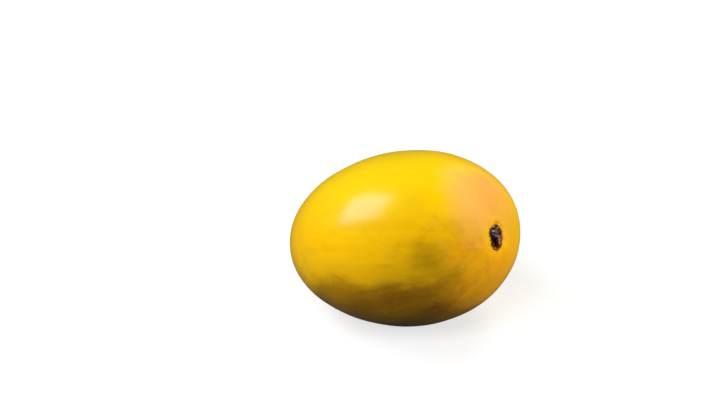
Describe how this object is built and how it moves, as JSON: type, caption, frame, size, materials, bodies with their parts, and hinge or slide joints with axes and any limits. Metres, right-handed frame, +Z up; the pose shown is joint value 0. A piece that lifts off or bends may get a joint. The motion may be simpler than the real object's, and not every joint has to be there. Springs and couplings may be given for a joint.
{
  "type": "mango",
  "caption": "Ripe yellow mango lying on its cheek: an oval fruit, fuller at the stem end, with an orange blush, a corky stalk scar and a slight beak.",
  "frame": {"origin": "middle of the small flat spot that the fruit rests on", "axes": "+Z up; +X along the fruit, from its apex to its stem end; -Y towards its rounded back, on whose side the stalk scar is"},
  "size_m": [0.0972, 0.0787, 0.0702],
  "materials": {
    "skin": "waxy satin skin, golden yellow with an orange blush",
    "stalk_scar": "rough brown cork and the broken wood of the stalk, in a small scar at the stem end"
  },
  "bodies": {
    "root": {"mango": "skin"}
  },
  "joints": []
}
